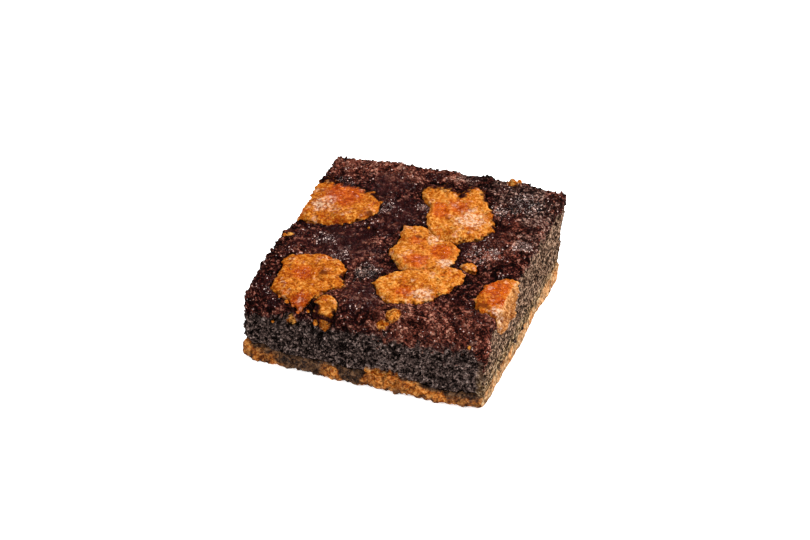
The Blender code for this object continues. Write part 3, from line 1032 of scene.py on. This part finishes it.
def colour_lump(mesh, points, shaded_gaps, depth):
    """Where a piece of cookie is glazed, pale (partly a painted sheen) and specked, and how much painted
    shade it gets in its gaps and pits and below its top.
    """
    wobble = smooth_field(points, length=1.8, seed=13.0)
    pits = ramp(-smooth_field(points, length=1.0, seed=17.0), 0.35, 0.65)
    sugar = smooth_field(points, length=2.8, seed=21.0)
    write_fields(
        mesh,
        cavity=0.35 * shaded_gaps + 0.7 * pits + 0.35 * ramp(depth, 1.0, 2.5),
        glaze=np.maximum(patches(points, GLAZE, wobble), 0.7 * ramp(wobble, 0.25, 0.6)),
        pale=np.maximum(patches(points, PALE, wobble), 0.5 * ramp(sugar, 0.3, 0.6)),
        speck=0.9 * patches(points, SPECKS, wobble),
    )


def crumb_ball():
    """A round ball as points and triangles, which each crumb distorts."""
    shape = bmesh.new()
    bmesh.ops.create_icosphere(shape, subdivisions=2, radius=1.0)
    points = np.array([vert.co[:] for vert in shape.verts])
    faces = np.array([[vert.index for vert in face.verts] for face in shape.faces])
    shape.free()
    return points, faces


def crumb_points(ball, centre, reach, source):
    """One uneven crumb about a centre, in millimetres."""
    seed = Vector([source.uniform(0, 90) for _ in range(3)])
    stretch_by = np.array([source.uniform(0.7, 1.25) for _ in range(3)])
    sizes = np.array([1 + 0.55 * noise.noise(Vector(point) * 1.5 + seed) for point in ball])
    return centre + ball * sizes[:, None] * stretch_by * reach


def join_crumbs(name, crumbs):
    """One mesh of many crumbs, each given as its centre and reach, and each point's crumb by number."""
    ball, faces = crumb_ball()
    source = random.Random(CRUMB_SHAPE_SEED)
    points = [crumb_points(ball, centre, reach, source) for centre, reach in crumbs]
    triangles = [faces + len(ball) * number for number in range(len(crumbs))]
    mesh = bpy.data.meshes.new(name)
    mesh.from_pydata((np.concatenate(points) * MM).tolist(), [], np.concatenate(triangles).tolist())
    obj = new_object(name, mesh)
    mesh.shade_smooth()
    return obj, np.repeat(np.arange(len(crumbs)), len(ball))


def clear_of_lumps(points):
    """Which points lie outside the box round every lump, with a little to spare."""
    clear = np.ones(len(points), bool)
    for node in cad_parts:
        if node.startswith("cookie_lump"):
            low, high = (np.array(corner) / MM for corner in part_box(node))
            clear &= ~np.all((points > low - CRUMB_CLEARANCE) & (points < high + CRUMB_CLEARANCE), axis=1)
    return clear


def scatter_crumbs(brownie):
    """Small crumbs that cling to the broken sides and the rims, half sunk in them."""
    mesh = brownie.data
    points, normals = read_points(mesh), read_normals(mesh)
    values = {name: read_field(mesh, name) for name in ("crust", "knife", "cookie")}
    outer = side_distance(points, CRUMB_HALF) < 0
    broken = (values["knife"] < 0.4) & (values["cookie"] < 0.1) & (normals[:, 2] > -0.4)
    rim_or_side = (normals[:, 2] < 0.5) | (values["crust"] > 0.5)
    chosen = np.flatnonzero(outer & broken & clear_of_lumps(points) & rim_or_side)
    source = random.Random(CRUMB_PLACE_SEED)
    share = CRUMBS_PER_AREA * BROWNIE_VOXEL ** 2
    chosen = [number for number in chosen if source.random() < share]
    crumbs = []
    for number in chosen:
        reach = source.uniform(*CRUMB_REACH) * (1 - 0.3 * values["crust"][number])
        crumbs.append((points[number] + normals[number] * reach * 0.1, reach))
    obj, owner = join_crumbs("brownie_loose_crumbs", crumbs)
    write_fields(obj.data, **{name: numbers[chosen][owner] for name, numbers in values.items()})
    write_fields(obj.data, cavity=0.0, bloom=0.0, shine=0.3, ruddy=0.6, smooth=0.0, tan=0.0, warm=0.0)
    return obj


def scatter_golden(brownie):
    """Bits of cookie that lie on the crust and cling to the front, each sunk in the nearest surface."""
    mesh = brownie.data
    corners, faces = [vert.co for vert in mesh.vertices], [face.vertices for face in mesh.polygons]
    surface = BVHTree.FromPolygons(corners, faces)
    crumbs = []
    for centre, reach in GOLDEN_CRUMBS:
        at, normal = surface.find_nearest(Vector(centre) * MM)[:2]
        crumbs.append((np.array(at) / MM + np.array(normal) * 0.3 * reach, reach))
    obj = join_crumbs("cookie_loose_crumbs", crumbs)[0]
    points = read_points(obj.data)
    colour_lump(obj.data, points, np.zeros(len(points)), np.zeros(len(points)))
    write_fields(obj.data, knife=0.0, smear=0.0, deep=0.0)
    return obj


def finish_piece(obj, material, slot, *nodes):
    """Gives a piece its material and its place in the frame, for the nodes that it replaces."""
    obj.data.materials.clear()
    obj.data.materials.append(material)
    if nodes:
        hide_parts(*nodes)
    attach(obj, "root")
    print("piece", obj.name, "faces", len(obj.data.polygons))


# Stage

def make_floor():
    bpy.ops.mesh.primitive_plane_add(size=FLOOR_SIZE)
    floor = bpy.context.object
    floor.name = "floor"
    material, _, shader = new_material("floor_white")
    shader.inputs["Base Color"].default_value = FLOOR_COLOUR
    shader.inputs["Roughness"].default_value = 0.9
    shader.inputs["Specular IOR Level"].default_value = 0.0
    shader.inputs["Emission Color"].default_value = WHITE
    shader.inputs["Emission Strength"].default_value = FLOOR_GLOW
    floor.data.materials.append(material)


def direction(azimuth, elevation):
    """The way from the slice towards a place seen at these angles, in degrees."""
    a, e = math.radians(azimuth), math.radians(elevation)
    return Vector((math.sin(a) * math.cos(e), -math.cos(a) * math.cos(e), math.sin(e)))


def add_light(name, azimuth, elevation, distance, size, power, colour=(1.0, 1.0, 1.0)):
    """A square soft light that faces the part."""
    light = bpy.data.lights.new(name, "AREA")
    light.shape = "SQUARE"
    light.size = size
    light.energy = power
    light.color = colour
    obj = bpy.data.objects.new(name, light)
    bpy.context.scene.collection.objects.link(obj)
    way = direction(azimuth, elevation)
    obj.location = way * distance
    obj.rotation_euler = way.to_track_quat("Z", "Y").to_euler()


def make_lights():
    for light in LIGHTS:
        add_light(*light)
    world = bpy.data.worlds.new("studio")
    world.use_nodes = True
    background = world.node_tree.nodes["Background"]
    background.inputs["Color"].default_value = WHITE
    background.inputs["Strength"].default_value = WORLD_LIGHT
    bpy.context.scene.world = world
    bpy.context.scene.view_settings.view_transform = "Standard"


def make_camera():
    back = direction(CAMERA_AZIMUTH, CAMERA_ELEVATION)
    camera = bpy.data.cameras.new("photo_camera")
    camera.lens = CAMERA_LENS
    camera.sensor_width = CAMERA_SENSOR
    camera.clip_start = 0.01
    obj = bpy.data.objects.new("photo_camera", camera)
    bpy.context.scene.collection.objects.link(obj)
    turn = back.to_track_quat("Z", "Y").to_matrix() @ Euler((0, 0, math.radians(CAMERA_ROLL))).to_matrix()
    obj.matrix_world = turn.to_4x4()
    obj.location = CAMERA_TARGET + back * CAMERA_DISTANCE
    bpy.context.scene.camera = obj


brownie_look, lump_look = brownie_material(), lump_material()
brownie = make_brownie()
finish_piece(brownie, brownie_look, "brownie", "brownie")
finish_piece(scatter_crumbs(brownie), brownie_look, "brownie")
finish_piece(scatter_golden(brownie), lump_look, "cookie_lump")
finish_piece(make_base(), base_material(), "cookie_base", "cookie_base")
for node in sorted(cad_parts):
    if node.startswith(LUMP_NAMES):
        finish_piece(make_lump(node), lump_look, "cookie_lump", node)
make_floor()
make_lights()
make_camera()
